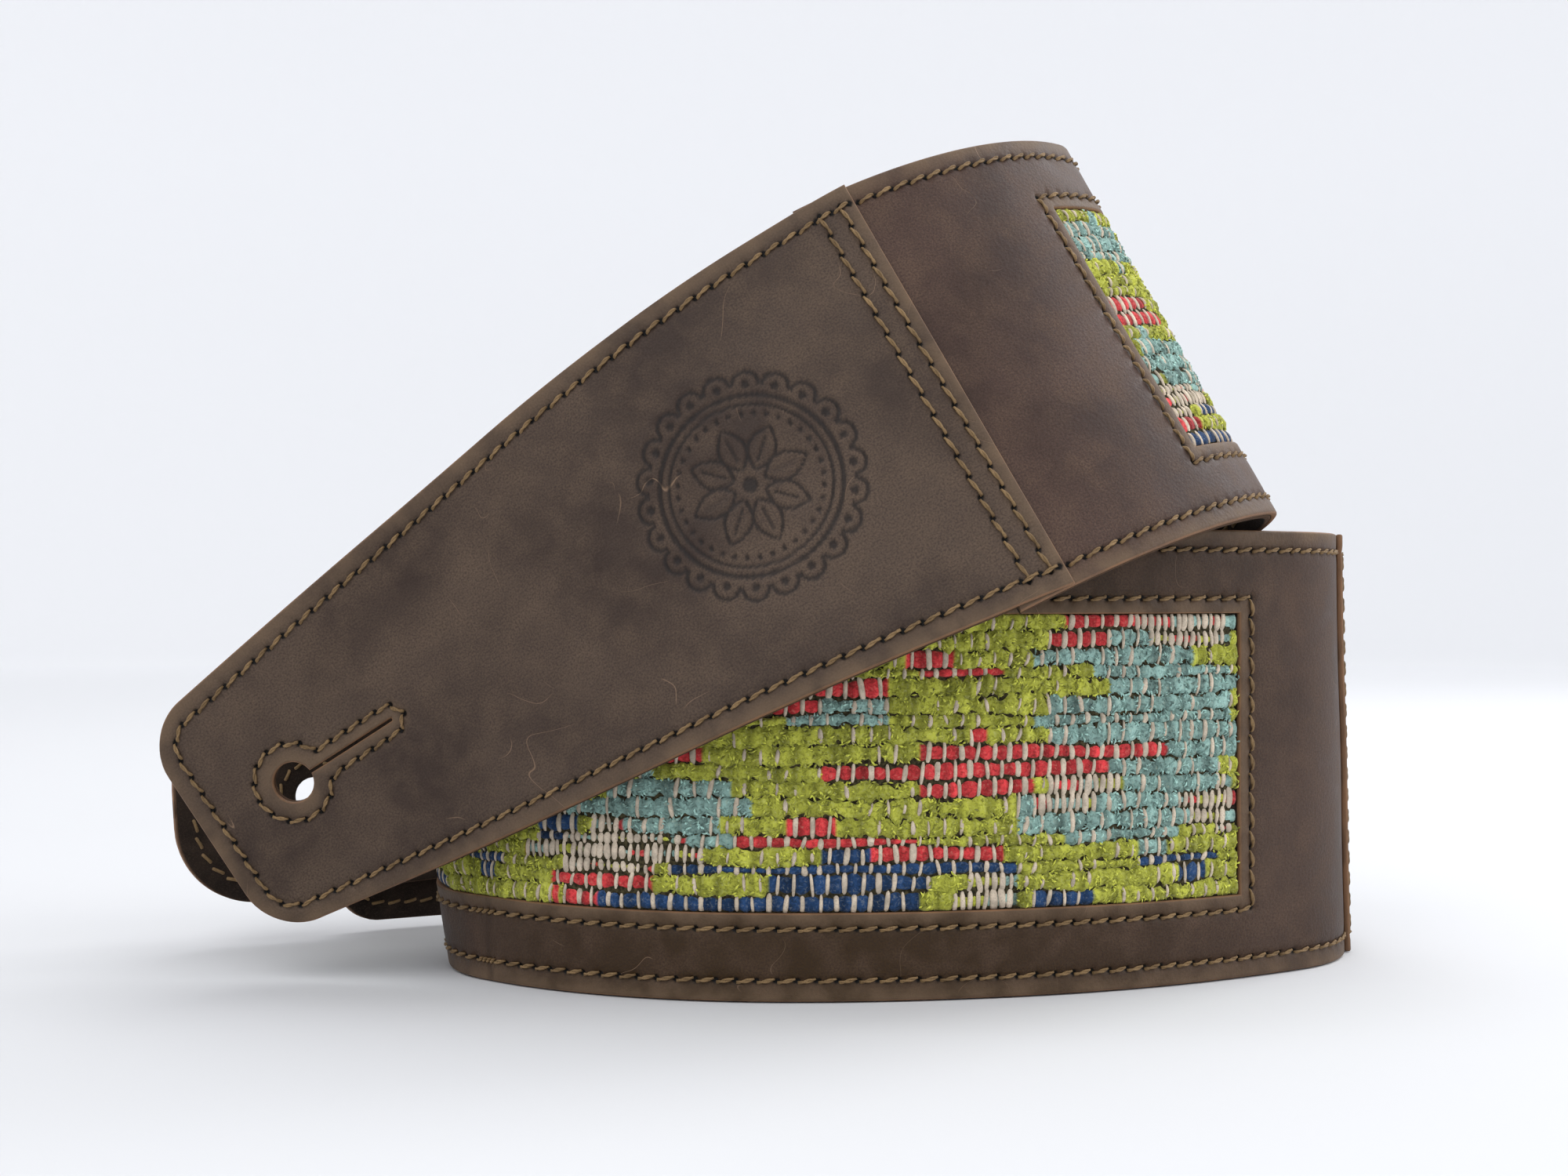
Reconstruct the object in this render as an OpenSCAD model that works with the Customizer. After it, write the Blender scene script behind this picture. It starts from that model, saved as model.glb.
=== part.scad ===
// Guitar strap, lying rolled on its edge: a long body with a woven panel in a window,
// a tapered end panel at each end and an adjustable tail woven through the rear panel.
// Every piece is cut flat and then laid along the same roll.
// Flat pattern: u runs along the strap, w across it, n is height off the body's face.
// World: +X along the front band, +Y away from the viewer, +Z up. Units: mm.

/* [Body] */
// Width of the strap
strap_w = 89; // [60:0.5:110]
// Half length of the window side, from the front of the roll to the front seam
front_seam = 377; // [374:0.5:380]
// From the front of the roll to the rear seam
rear_seam = 138.5; // [136:0.5:142]
// How far each end panel laps over the body
lap = 11; // [8:0.5:15]
// Thickness of one leather layer
leather = 1.4; // [1:0.1:2]
// Leather left between each seam and the window
window_margin = 43; // [38:0.5:50]
// Height of the window across the strap
window_h = 56; // [40:0.5:66]
// How far the weave sits below the face
weave_drop = 0.3; // [0.1:0.1:0.8]

/* [Front end panel] */
// Length from the seam to the tip
front_len = 173; // [165:0.5:178]
// Width at the tip
front_tip_w = 47.5; // [44:0.5:56]
// How much the long edges swell outwards
front_bow = 1.7; // [0:0.1:3]
// Corner radius at the tip
front_corner = 10; // [8:0.5:18]
// Tip to the middle of the strap button hole
front_hole_in = 20.5; // [17:0.5:24]

/* [Rear end panel and tail] */
// Length from the seam to the end
rear_len = 254.5; // [250:0.5:256]
// Width at the end
rear_tip_w = 59; // [54:0.5:64]
// Corner radius at the end
rear_corner = 9; // [4:0.5:12]
// Width of the tail
tail_w = 44; // [36:0.5:48]
// Tail tip beyond the panel's end
tail_out = 36; // [30:0.5:44]
// Length of the tail
tail_len = 190; // [175:1:200]
// Corner radius at the tail tip
tail_corner = 18; // [12:0.5:21]
// Tip to the middle of the tail's strap button hole
tail_hole_in = 30.5; // [29:0.1:31]
// From the panel's end to the middle of the outer slot
slot_1 = 45; // [40:1:50]
// From the panel's end to the middle of the inner slot
slot_2 = 121; // [112:1:126]
// Length of a slot along the strap
slot_l = 9; // [8.8:0.1:11]
// Width of a slot across the strap
slot_w = 47; // [46:0.5:50]

/* [Strap button holes] */
// Hole diameter
hole_d = 8; // [6:0.1:10]
// Length of the slit beside each hole
slit_l = 21.5; // [12:0.5:23]
// Width of the slit
slit_w = 0.5; // [0.3:0.1:1]

/* [Stitching] */
// Thread width
thread_w = 0.8; // [0.5:0.1:1.1]
// Thread height over the leather
thread_h = 0.4; // [0.3:0.05:0.6]
// Edge rows, distance in from the edge
row_in = 3.9; // [3:0.1:5]
// Window row, distance out from the cut edge
window_row = 3; // [2:0.1:4]
// Outer seam row, distance in from the panel's edge
seam_row = 2.9; // [2.5:0.1:3.5]
// Distance between the two seam rows
seam_pitch = 4.4; // [3.5:0.1:5.5]
// Ring of stitches round each hole, its radius
ring_r = 7.8; // [6.5:0.1:9]
// Rows beside each slit, distance from it
slit_row = 2.9; // [2.5:0.1:4]

/* [Roll] */
// Front band, length of its left half's curve
front_arc = 62; // [55:1:65]
// Front band, angle of its left half's curve
front_turn = 41.2; // [38:0.1:44]
// Left turn, lean of its axis from upright
left_lean = 14.6; // [13:0.1:16]
// Left turn, angle
left_turn = 158.2; // [155:0.1:162]
// Upper right turn, angle
upper_turn = 114.5; // [112:0.5:117]
// Upper right turn and the curve after it, lean of their axes from upright
upper_lean = 1.5; // [1:0.1:2]
// Curl at the tip of the front end panel, lean of its axis from upright
curl_lean = 48.5; // [45:0.5:52]
// Curl at the tip of the front end panel, angle
curl_turn = 24; // [18:0.5:28]
// Right half of the front band, angle of its curve
right_arc_turn = 36; // [34:0.5:38]
// Right turn, angle
right_turn = 141; // [138:0.5:143]
// Right turn, lean of its axis from upright
right_lean = 1.75; // [1:0.05:2.5]

/* [Hidden] */
hw = strap_w / 2;
t1 = leather;
t2 = 2 * leather;
step = 5;
skin = 0.05;
win_l = -front_seam + window_margin;
win_r = rear_seam - window_margin;
wh = window_h / 2;
front_end = -(front_seam + front_len);
rear_end = rear_seam + rear_len;
tail_end = rear_end + tail_out;
tail_start = tail_end - tail_len;
slots = [rear_end - slot_2, rear_end - slot_1];
front_hole = front_end + front_hole_in;
tail_hole = tail_end - tail_hole_in;
// The slits start inside their holes, this far from the middle
slit_start = 2;
slit_far = slit_start + slit_l;
slit_end_d = 1.4;
// Edge strip of the front panel's grid
rim = 5;
// Moves the roll's middle to the origin
mid_x = -4.93;
mid_y = 46.88;
// Lifts the lowest edge to the floor
rest = 0.3;

// Bends: distance from the front of the roll, lean, length along the strap, angle
left_bends = [[0, 0, front_arc, front_turn], [77, -left_lean, 75, left_turn], [163, 0, 110, -9],
    [284, upper_lean, 33.5, upper_turn], [318.5, upper_lean, 69.5, 55], [400, 0, 60, 26],
    [470, curl_lean, 35, -curl_turn]];
right_bends = [[0, 0, 110, right_arc_turn], [112, -right_lean, 88, right_turn], [310, 0, 65, 34]];
// The grid leans with a tight bend b on side e, and stands square again before and after it
function leaned(b, e, before, after) =
    let (near = [[e * (b[0] - before), 0], [e * b[0], tan(b[1])]],
        far = [[e * (b[0] + b[2]), tan(b[1])], [e * (b[0] + b[2] + after), 0]])
    e > 0 ? concat(near, far) : [far[1], far[0], near[1], near[0]];
leans = concat(leaned(left_bends[3], -1, 4.5, 5), leaned(left_bends[1], -1, 15, 16),
    leaned(right_bends[1], 1, 2, 4));

// One bend b applied to point p, which lies at q on the flat pattern; e is the side
function roll(p, q, b, e) =
    let (c = cos(b[1]), k = sin(b[1]), d = ((q[0] - e * b[0]) * c - q[1] * k) * e)
    d <= 0 ? p :
    let (m = min(d, b[2]), r = b[2] / b[3] * 180 / PI, f = b[3] * m / b[2],
        x = p[0] - e * b[0], a = (x * c - p[2] * k) * e - m, v = x * k + p[2] * c,
        t = r * sin(f) + a * cos(f) - p[1] * sin(f))
    [e * b[0] + t * e * c + v * k, r - r * cos(f) + a * sin(f) + p[1] * cos(f), v * c - t * e * k];

function unroll(p, q, list, e, i) = i < 0 ? p : unroll(roll(p, q, list[i], e), q, list, e, i - 1);

// Flat point (u, w) at height n, laid on the roll
function lay(u, w, n) =
    let (s = u + w * lookup(u, leans), q = [s, w], left = s < 0,
        list = left ? left_bends : right_bends,
        p = unroll([s, -n, w], q, list, left ? -1 : 1, len(list) - 1))
    [p[0] - mid_x, p[1] - mid_y, p[2] + hw + rest];

// Where the bends and leans start and stop, so that facets end there
function sorted(v) = len(v) == 0 ? [] :
    concat(sorted([for (x = v) if (x < v[0]) x]), [v[0]], sorted([for (x = v) if (x > v[0]) x]));
breaks = sorted(concat([for (b = left_bends) each [-b[0], -b[0] - b[2]]],
    [for (b = right_bends) each [b[0], b[0] + b[2]]], [for (l = leans) l[0]]));
function between(a, b) = concat([a], [for (k = breaks) if (k > a + 0.3 && k < b - 0.3) k], [b]);
function cells(a, b) = max(1, round((b - a) / step));
function fill(list) = [for (i = [0 : len(list) - 2])
    let (a = list[i], b = list[i + 1], count = cells(a, b))
    for (k = [0 : count - 1]) a + (b - a) * k / count];
// Stations along the strap from a to b
function along(a, b) = concat(fill(between(a, b)), [b]);
// Stations through several set places
function through(list) = concat([for (i = [0 : len(list) - 2]) each fill(between(list[i], list[i + 1]))],
    [list[len(list) - 1]]);

// Half widths of the end panels and the tail, d from the seam or tip
function rounded(h, left, r) = left >= r ? h : h - r + sqrt(max(0, r * r - (r - left) * (r - left)));
function front_flat(u) = let (t = max(0, min(1, (-u - front_seam) / front_len)))
    hw - (hw - front_tip_w / 2) * t + front_bow * 4 * t * (1 - t);
function front_hw(u) = rounded(front_flat(u), u - front_end, front_corner);
function rear_flat(u) = let (t = max(0, min(1, (u - rear_seam) / rear_len)))
    hw - (hw - rear_tip_w / 2) * t;
function rear_hw(u) = rounded(rear_flat(u), rear_end - u, rear_corner);
function tail_hw(u) = rounded(tail_w / 2, tail_end - u, tail_corner);

// Height of the tail's middle: under the panel, over it between the slots, under it again
function ramp(x) = x <= -1 ? 0 : x >= 1 ? 1 : (x + 1) / 2;
function tail_n(u) = -t2 + 2 * t2 * (ramp((u - slots[0]) / (slot_l / 2 - 0.2))
    - ramp((u - slots[1]) / (slot_l / 2 - 0.2)));
function tail_stations(a) = through([a, slots[0] - slot_l / 2 + 0.2, slots[0] + slot_l / 2 - 0.2,
    slots[1] - slot_l / 2 + 0.2, slots[1] + slot_l / 2 - 0.2, tail_end - tail_corner]);

// A closed sheet from a grid of [u, w] points, with the cells in gaps left open.
// low and high are its two faces; rise adds a height that changes along the strap.
module sheet(grid, low, high, gaps = [], rise = []) {
    rows = len(grid);
    cols = len(grid[0]);
    lift = len(rise) > 0 ? rise : [for (i = [0 : rows - 1]) 0];
    points = [for (n = [low, high], i = [0 : rows - 1], j = [0 : cols - 1])
        lay(grid[i][j][0], grid[i][j][1], n + lift[i])];
    function gap(i, j) = len([for (g = gaps) if (i >= g[0] && i < g[1] && j >= g[2] && j < g[3]) 1]) > 0;
    function open(i, j) = i < 0 || j < 0 || i >= rows - 1 || j >= cols - 1 || gap(i, j);
    function at(i, j, k) = k * rows * cols + i * cols + j;
    function quad(a, b, c, d) = [[a, b, c], [a, c, d]];
    function wall(i, j, k, l) = quad(at(i, j, 0), at(k, l, 0), at(k, l, 1), at(i, j, 1));
    faces = [for (i = [0 : rows - 2], j = [0 : cols - 2]) if (!gap(i, j)) each concat(
        quad(at(i, j, 1), at(i + 1, j, 1), at(i + 1, j + 1, 1), at(i, j + 1, 1)),
        quad(at(i, j, 0), at(i, j + 1, 0), at(i + 1, j + 1, 0), at(i + 1, j, 0)),
        open(i - 1, j) ? wall(i, j + 1, i, j) : [],
        open(i + 1, j) ? wall(i + 1, j, i + 1, j + 1) : [],
        open(i, j - 1) ? wall(i, j, i + 1, j) : [],
        open(i, j + 1) ? wall(i + 1, j + 1, i, j + 1) : [])];
    polyhedron(points, [for (f = faces) [f[0], f[2], f[1]]]);
}

// A run of thread along flat points, with its underside at height n; loop joins its ends
module thread(path, n, loop = false, rise = []) {
    count = len(path);
    last = count - 1;
    h = thread_w / 2;
    lift = len(rise) > 0 ? rise : [for (i = [0 : last]) 0];
    function before(i) = i > 0 ? path[i - 1] : loop ? path[last] : path[0];
    function after(i) = i < last ? path[i + 1] : loop ? path[0] : path[last];
    function unit(v) = v / max(1e-6, norm(v));
    function side(i) =
        let (a = unit(path[i] - before(i)), b = unit(after(i) - path[i]), m = unit(a + b),
            c = max(0.5, max(a * m, b * m)))
        [-m[1], m[0]] * h / c;
    points = [for (i = [0 : last]) let (s = side(i), p = path[i], k = lift[i]) each [
        lay(p[0] + s[0], p[1] + s[1], n + k), lay(p[0] - s[0], p[1] - s[1], n + k),
        lay(p[0] - s[0], p[1] - s[1], n + thread_h + k),
        lay(p[0] + s[0], p[1] + s[1], n + thread_h + k)]];
    runs = loop ? last : last - 1;
    faces = concat([for (i = [0 : runs], k = [0 : 3])
        let (a = 4 * i, b = 4 * ((i + 1) % count), l = (k + 1) % 4)
        each [[a + k, b + k, b + l], [a + k, b + l, a + l]]],
        loop ? [] : [[0, 1, 2], [0, 2, 3], [4 * last, 4 * last + 3, 4 * last + 2],
            [4 * last, 4 * last + 2, 4 * last + 1]]);
    polyhedron(points, faces);
}

// Rows of [u, w] points at the given places across the strap
function strip(us, ws) = [for (u = us) [for (w = ws) [u, w]]];

// Moves a shape to flat point (u, w), lying on the sheet
module on_sheet(u, w) {
    o = lay(u, w, 0);
    a = lay(u + 1, w, 0) - o;
    b = lay(u, w + 1, 0) - o;
    c = lay(u, w, 1) - o;
    multmatrix([[a[0], b[0], c[0], o[0]], [a[1], b[1], c[1], o[1]], [a[2], b[2], c[2], o[2]]])
        children();
}

// Strap button hole with its slit; e is the way the slit runs
module keyhole(u, e, low, high) {
    on_sheet(u, 0) translate([0, 0, low - 1]) {
        cylinder(h = high - low + 2, d = hole_d, $fn = 48);
        translate([e > 0 ? slit_start : -slit_far, -slit_w / 2, 0]) cube([slit_l, slit_w, high - low + 2]);
        translate([e * slit_far, 0, 0]) cylinder(h = high - low + 2, d = slit_end_d, $fn = 16);
    }
}

// Stitch path round a keyhole: the ring, along the slit, round its end and back
function keyhole_path(u, e) =
    let (a0 = asin(slit_row / ring_r), x0 = ring_r * cos(a0), side = (slit_far - x0) / 4)
    concat([for (k = [0 : 14]) let (a = a0 + (360 - 2 * a0) * k / 14)
            [u + e * ring_r * cos(a), ring_r * sin(a)]],
        [for (k = [1 : 3]) [u + e * (x0 + side * k), -slit_row]],
        [for (k = [0 : 8]) let (a = -90 + 180 * k / 8)
            [u + e * (slit_far + slit_row * cos(a)), slit_row * sin(a)]],
        [for (k = [3 : -1 : 1]) [u + e * (x0 + side * k), slit_row]]);

body_us = through([-front_seam - lap, -front_seam, win_l, win_r, rear_seam, rear_seam + lap]);
win_us = along(win_l, win_r);
function front_stations() = let (tip = front_end + front_corner)
    concat([for (k = [0 : 6]) front_end + front_corner * (1 - cos(15 * k))],
        [for (u = through([tip, -front_seam - lap, -front_seam])) if (u > tip + 0.1) u]);
function front_row_of(u) = let (h = front_hw(u))
    [[u, -h], for (k = [-4 : 4]) [u, (h - rim) * k / 4], [u, h]];
function rear_stations() = let (tip = rear_end - rear_corner)
    concat([for (u = through([rear_seam, rear_seam + lap, slots[0] - slot_l / 2, slots[0] + slot_l / 2,
        slots[1] - slot_l / 2, slots[1] + slot_l / 2, tip])) if (u < tip - 0.1) u],
        [for (k = [0 : 5]) rear_end - rear_corner * (1 - sin(18 * k))]);
function index(list, x) = [for (i = [0 : len(list) - 1]) if (abs(list[i] - x) < 0.01) i][0];

// Body
module body_leather() color("#4b3e37") {
    a = index(body_us, win_l);
    b = index(body_us, win_r);
    sheet(strip(body_us, [-hw, -wh, wh, hw]), -t1, 0, [[a, b, 1, 2]]);
}
module body_backing() color("#3d322c")
    sheet(strip(body_us, [-hw, -wh, wh, hw]), -t2, -t1);
module woven_panel() color("#96aa3c")
    sheet(strip(win_us, [-wh, wh]), -t1, -weave_drop);

// Front end panel
module front_end_panel() color("#493c35") difference() {
    sheet([for (u = front_stations()) front_row_of(u)], 0, t1);
    keyhole(front_hole, 1, 0, t1);
}
front_lining_us = [for (u = front_stations()) if (u < -front_seam - lap + 0.1) u];
module front_end_lining() color("#5a4a3e") difference() {
    sheet([for (u = front_lining_us) front_row_of(u)], -t1, 0);
    keyhole(front_hole, 1, -t1, 0);
}

// Rear end panel, with two slots for the tail
module rear_cut(us, low, high) {
    g = [for (s = slots) [index(us, s - slot_l / 2), index(us, s + slot_l / 2), 1, 2]];
    rows = [for (u = us) let (h = rear_hw(u)) [[u, -h], [u, -slot_w / 2], [u, slot_w / 2], [u, h]]];
    sheet(rows, low, high, g);
}
module rear_end_panel() color("#493c35") rear_cut(rear_stations(), 0, t1);
module rear_end_lining() color("#5a4a3e")
    rear_cut([for (u = rear_stations()) if (u > rear_seam + lap - 0.1) u], -t1, 0);

// Tail, woven through the slots
tail_us = concat([for (u = tail_stations(tail_start)) if (u < tail_end - tail_corner - 0.1) u],
    [for (k = [0 : 7]) tail_end - tail_corner * (1 - sin(90 * k / 7))]);
tail_rise = [for (u = tail_us) tail_n(u)];
module tail_layer(low, high) difference() {
    sheet([for (u = tail_us) [[u, -tail_hw(u)], [u, tail_hw(u)]]], low, high, [], tail_rise);
    keyhole(tail_hole, -1, -t2 + low, -t2 + high);
}
module tail_strap() color("#493c35") tail_layer(0, t1);
module tail_lining() color("#5a4a3e") tail_layer(-t1, 0);

// Stitch paths
gold = "#9b7a3a";
edge_us = along(-front_seam + thread_w, rear_seam - thread_w);
function edge_path(side) = [for (u = edge_us) [u, side * (hw - row_in)]];
window_path = let (a = win_l - window_row, b = win_r + window_row, h = wh + window_row,
        us = through([a, b]))
    concat([for (u = us) [u, -h]], [for (i = [len(us) - 1 : -1 : 0]) [us[i], h]]);
function front_row(u) = front_flat(u) - row_in;
front_turn_r = front_corner - row_in;
function front_edge_path(from) =
    let (us = through([front_end + front_corner, from]),
        c = front_row(front_end + front_corner) - front_turn_r, x = front_end + front_corner)
    concat([for (i = [len(us) - 1 : -1 : 1]) [us[i], -front_row(us[i])]],
        [for (k = [0 : 6]) [x - front_turn_r * sin(15 * k), -c - front_turn_r * cos(15 * k)]],
        [for (k = [6 : -1 : 0]) [x - front_turn_r * sin(15 * k), c + front_turn_r * cos(15 * k)]],
        [for (i = [1 : len(us) - 1]) [us[i], front_row(us[i])]]);
function rear_row(u) = rear_flat(u) - row_in;
rear_turn_r = rear_corner - row_in;
function rear_edge_path(from) =
    let (us = through([from, rear_end - rear_corner]), last = len(us) - 1,
        c = rear_row(us[last]) - rear_turn_r, x = rear_end - rear_corner)
    concat([for (i = [0 : last - 1]) [us[i], -rear_row(us[i])]],
        [for (k = [0 : 5]) [x + rear_turn_r * sin(18 * k), -c - rear_turn_r * cos(18 * k)]],
        [for (k = [5 : -1 : 0]) [x + rear_turn_r * sin(18 * k), c + rear_turn_r * cos(18 * k)]],
        [for (i = [last - 1 : -1 : 0]) [us[i], rear_row(us[i])]]);
tail_row = tail_w / 2 - row_in;
tail_turn_r = tail_corner - row_in;
tail_path = let (us = tail_stations(tail_start + row_in), last = len(us) - 1,
        c = tail_row - tail_turn_r, x = tail_end - tail_corner)
    concat([for (i = [0 : last - 1]) [us[i], -tail_row]],
        [for (k = [0 : 7]) [x + tail_turn_r * sin(90 * k / 7), -c - tail_turn_r * cos(90 * k / 7)]],
        [for (k = [7 : -1 : 0]) [x + tail_turn_r * sin(90 * k / 7), c + tail_turn_r * cos(90 * k / 7)]],
        [for (i = [last - 1 : -1 : 0]) [us[i], tail_row]]);
function across(u, h) = [for (k = [-1 : 1]) [u, k * h]];
seam_1 = front_seam + seam_row;
seam_2 = seam_1 + seam_pitch;
rear_1 = rear_seam + seam_row;
rear_2 = rear_1 + seam_pitch;
top = t1 + skin;
under = -t2 - skin - thread_h;
end_under = -t1 - skin - thread_h;

module run(path, n, loop = false, rise = []) color(gold) thread(path, n, loop, rise);

module body_upper_edge_thread() run(edge_path(1), skin);
module body_upper_edge_bobbin() run(edge_path(1), under);
module body_lower_edge_thread() run(edge_path(-1), skin);
module body_lower_edge_bobbin() run(edge_path(-1), under);
module window_thread() run(window_path, skin, true);
module window_bobbin() run(window_path, under, true);
module front_seam_outer_thread() run(across(-seam_1, hw - row_in - 2), top);
module front_seam_outer_bobbin() run(across(-seam_1, hw - row_in - 2), under);
module front_seam_inner_thread() run(across(-seam_2, hw - row_in - 2), top);
module front_seam_inner_bobbin() run(across(-seam_2, hw - row_in - 2), under);
module front_edge_thread() run(front_edge_path(-front_seam - 1), top);
module front_edge_bobbin() run(front_edge_path(-front_seam - lap - 1), end_under);
module front_keyhole_thread() run(keyhole_path(front_hole, 1), top, true);
module front_keyhole_bobbin() run(keyhole_path(front_hole, 1), end_under, true);
module rear_seam_outer_thread() run(across(rear_1, hw - row_in - 2), top);
module rear_seam_outer_bobbin() run(across(rear_1, hw - row_in - 2), under);
module rear_seam_inner_thread() run(across(rear_2, hw - row_in - 2), top);
module rear_seam_inner_bobbin() run(across(rear_2, hw - row_in - 2), under);
module rear_edge_thread() run(rear_edge_path(rear_seam + 1), top);
module rear_edge_bobbin() run(rear_edge_path(rear_seam + lap + 1), end_under);
module tail_edge_thread() run(tail_path, top, false, [for (p = tail_path) tail_n(p[0])]);
module tail_edge_bobbin() run(tail_path, end_under, false, [for (p = tail_path) tail_n(p[0])]);
module tail_keyhole_thread() run(keyhole_path(tail_hole, -1), top - t2, true);
module tail_keyhole_bobbin() run(keyhole_path(tail_hole, -1), end_under - t2, true);

body_leather();
body_backing();
woven_panel();
front_end_panel();
front_end_lining();
rear_end_panel();
rear_end_lining();
tail_strap();
tail_lining();
body_upper_edge_thread();
body_upper_edge_bobbin();
body_lower_edge_thread();
body_lower_edge_bobbin();
window_thread();
window_bobbin();
front_seam_outer_thread();
front_seam_outer_bobbin();
front_seam_inner_thread();
front_seam_inner_bobbin();
front_edge_thread();
front_edge_bobbin();
front_keyhole_thread();
front_keyhole_bobbin();
rear_seam_outer_thread();
rear_seam_outer_bobbin();
rear_seam_inner_thread();
rear_seam_inner_bobbin();
rear_edge_thread();
rear_edge_bobbin();
tail_edge_thread();
tail_edge_bobbin();
tail_keyhole_thread();
tail_keyhole_bobbin();
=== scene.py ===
"""A leather guitar strap with a woven panel, lying rolled on its edge.

Every piece is cut flat in (u, w), u along the strap and w across it, and is then laid along
the same roll as the CAD model. n is the height over the body's face. Lengths are in mm.
"""

import math

import bpy
import numpy as np
from mathutils.kdtree import KDTree
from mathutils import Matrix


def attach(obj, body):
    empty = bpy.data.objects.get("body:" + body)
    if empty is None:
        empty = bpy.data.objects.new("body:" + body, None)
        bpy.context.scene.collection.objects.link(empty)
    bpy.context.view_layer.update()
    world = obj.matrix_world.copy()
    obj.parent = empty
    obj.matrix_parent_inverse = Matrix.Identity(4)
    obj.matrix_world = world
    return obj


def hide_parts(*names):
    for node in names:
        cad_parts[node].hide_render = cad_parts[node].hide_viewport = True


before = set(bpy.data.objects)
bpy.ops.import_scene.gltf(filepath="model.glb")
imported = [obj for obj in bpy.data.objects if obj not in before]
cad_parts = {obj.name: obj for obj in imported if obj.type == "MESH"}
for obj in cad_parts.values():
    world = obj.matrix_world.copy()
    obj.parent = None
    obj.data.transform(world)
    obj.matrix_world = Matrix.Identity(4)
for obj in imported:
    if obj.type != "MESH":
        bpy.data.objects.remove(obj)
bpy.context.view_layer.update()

MM = 0.001

# Flat pattern, as in the CAD source
HALF_W = 44.5
FRONT_SEAM = 377.0
REAR_SEAM = 138.5
LAP = 11.0
LEATHER = 1.4
WIN_LEFT = -FRONT_SEAM + 43.0
WIN_RIGHT = REAR_SEAM - 43.0
WIN_HALF = 28.0
FRONT_LEN = 173.0
FRONT_TIP = 23.75
FRONT_BOW = 1.7
FRONT_CORNER = 10.0
REAR_LEN = 254.5
REAR_TIP = 29.5
REAR_CORNER = 9.0
TAIL_HALF = 22.0
TAIL_LEN = 190.0
TAIL_CORNER = 18.0
FRONT_END = -(FRONT_SEAM + FRONT_LEN)
REAR_END = REAR_SEAM + REAR_LEN
TAIL_END = REAR_END + 36.0
TAIL_START = TAIL_END - TAIL_LEN
SLOTS = (REAR_END - 121.0, REAR_END - 45.0)
SLOT_LEN = 9.0
SLOT_HALF = 23.5
FRONT_HOLE = FRONT_END + 20.5
TAIL_HOLE = TAIL_END - 30.5
HOLE_R = 4.0
SLIT_FAR = 23.5
# The slit is drawn 0.1 mm wider than in the CAD source
SLIT_HALF = 0.3

# Stitching
ROW_IN = 3.9
WINDOW_ROW = 3.0
SEAM_ROW = 2.9
SEAM_PITCH = 4.4
RING_R = 7.8
SLIT_ROW = 2.9
PITCH = 3.85
SEAM_STITCH = 4.45
KEYHOLE_PITCH = 3.6
# A stitch starts this far to one side of the row and ends as far to the other
SLANT = 0.38
# How far each end of a stitch stops short of its needle hole
SHORT = 0.22
# Height of a stitch's middle over its ends, and depth of its ends in the leather
STITCH_RISE = 0.72
STITCH_SUNK = 0.5
# Half width and half height of one ply above, and of the flat thread below
PLY_SIZE = (0.23, 0.24)
BOBBIN_SIZE = (0.36, 0.24)
# Turns of the two plies along a stitch, and how far they lie apart sideways and in height
PLY_TURNS = 0.8
PLY_APART = 0.2
PLY_LIFT = 0.12

# The roll: distance from its front, lean, length along the strap, angle
LEFT_BENDS = (
    (0, 0, 62, 41.2), (77, -14.6, 75, 158.2), (163, 0, 110, -9), (284, 1.5, 33.5, 114.5),
    (318.5, 1.5, 69.5, 55), (400, 0, 60, 26), (470, 48.5, 35, -24),
)
RIGHT_BENDS = ((0, 0, 110, 36), (112, -1.75, 88, 141), (310, 0, 65, 34))
MIDDLE = np.array((-4.93, 46.88))
REST = 0.3

LEAN_UPPER = math.tan(math.radians(1.5))
LEAN_LEFT = -math.tan(math.radians(14.6))
LEAN_RIGHT = -math.tan(math.radians(1.75))
LEANS = np.array((
    (-322.5, 0), (-317.5, LEAN_UPPER), (-284, LEAN_UPPER), (-279.5, 0), (-168, 0), (-152, LEAN_LEFT),
    (-77, LEAN_LEFT), (-62, 0), (110, 0), (112, LEAN_RIGHT), (200, LEAN_RIGHT), (204, 0),
))


def roll(s, w, n, bends, side):
    """Flat points after the bends on one side of the roll's front."""
    x, y, z = s.copy(), -n.copy(), w.copy()
    for start, lean, length, angle in reversed(bends):
        c, k = math.cos(math.radians(lean)), math.sin(math.radians(lean))
        past = ((s - side * start) * c - w * k) * side
        radius = length / math.radians(angle)
        inside = np.clip(past, 0, length)
        turn = inside / radius
        dx = x - side * start
        extra = (dx * c - z * k) * side - inside
        along = dx * k + z * c
        t = radius * np.sin(turn) + extra * np.cos(turn) - y * np.sin(turn)
        y2 = radius * (1 - np.cos(turn)) + extra * np.sin(turn) + y * np.cos(turn)
        bent = past > 0
        x = np.where(bent, side * start + t * side * c + along * k, x)
        z = np.where(bent, along * c - t * side * k, z)
        y = np.where(bent, y2, y)
    return np.stack((x, y, z), -1)


def lay(u, w, n):
    """Row-frame points, in metres, of flat points at height n."""
    u, w, n = (np.array(a, float) for a in np.broadcast_arrays(u, w, n))
    s = u + w * np.interp(u, LEANS[:, 0], LEANS[:, 1])
    points = np.where((s < 0)[..., None], roll(s, w, n, LEFT_BENDS, -1), roll(s, w, n, RIGHT_BENDS, 1))
    points[..., :2] -= MIDDLE
    points[..., 2] += HALF_W + REST
    return points * MM


# ---- outlines


def front_flat(u):
    t = np.clip((-u - FRONT_SEAM) / FRONT_LEN, 0, 1)
    return HALF_W - (HALF_W - FRONT_TIP) * t + FRONT_BOW * 4 * t * (1 - t)


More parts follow.
